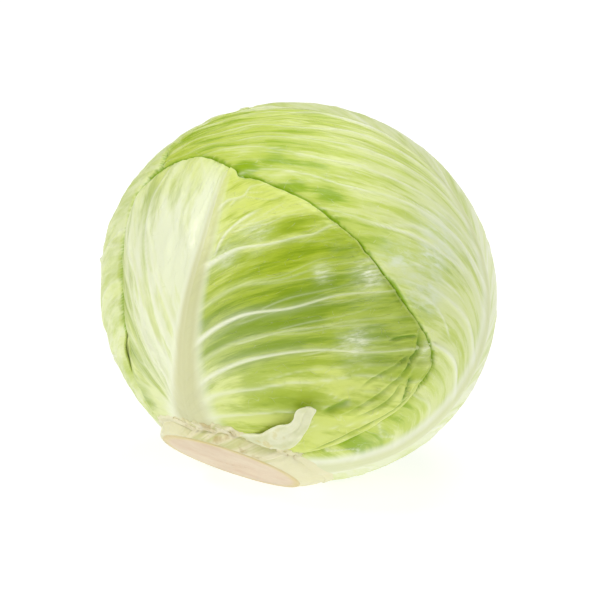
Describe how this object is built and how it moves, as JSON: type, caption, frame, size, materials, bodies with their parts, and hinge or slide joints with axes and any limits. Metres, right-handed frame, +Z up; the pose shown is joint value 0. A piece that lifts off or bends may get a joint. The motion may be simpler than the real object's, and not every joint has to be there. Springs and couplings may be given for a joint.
{
  "type": "cabbage head",
  "caption": "Trimmed head of white cabbage lying on its side, with wrapped leaves, thick pale ribs and a cut stem.",
  "frame": {"origin": "on the surface the head lies on, under the middle of its box", "axes": "+Z up; the cut stem points low towards -Y and -X, the crown up and back; -Y faces the viewer"},
  "size_m": [0.1764, 0.1784, 0.1716],
  "materials": {
    "leaf_green": "waxy, satin",
    "leaf_light": "waxy, satin",
    "leaf_inner": "waxy, satin",
    "stem_flesh": "matt, freshly cut"
  },
  "bodies": {
    "root": {"leaf_front": "leaf_green", "leaf_back": "leaf_green", "leaf_right": "leaf_light", "leaf_left": "leaf_green", "leaf_crown": "leaf_light", "inner_head": "leaf_inner", "stem": "stem_flesh", "torn_leaf_base": "leaf_inner"}
  },
  "joints": []
}
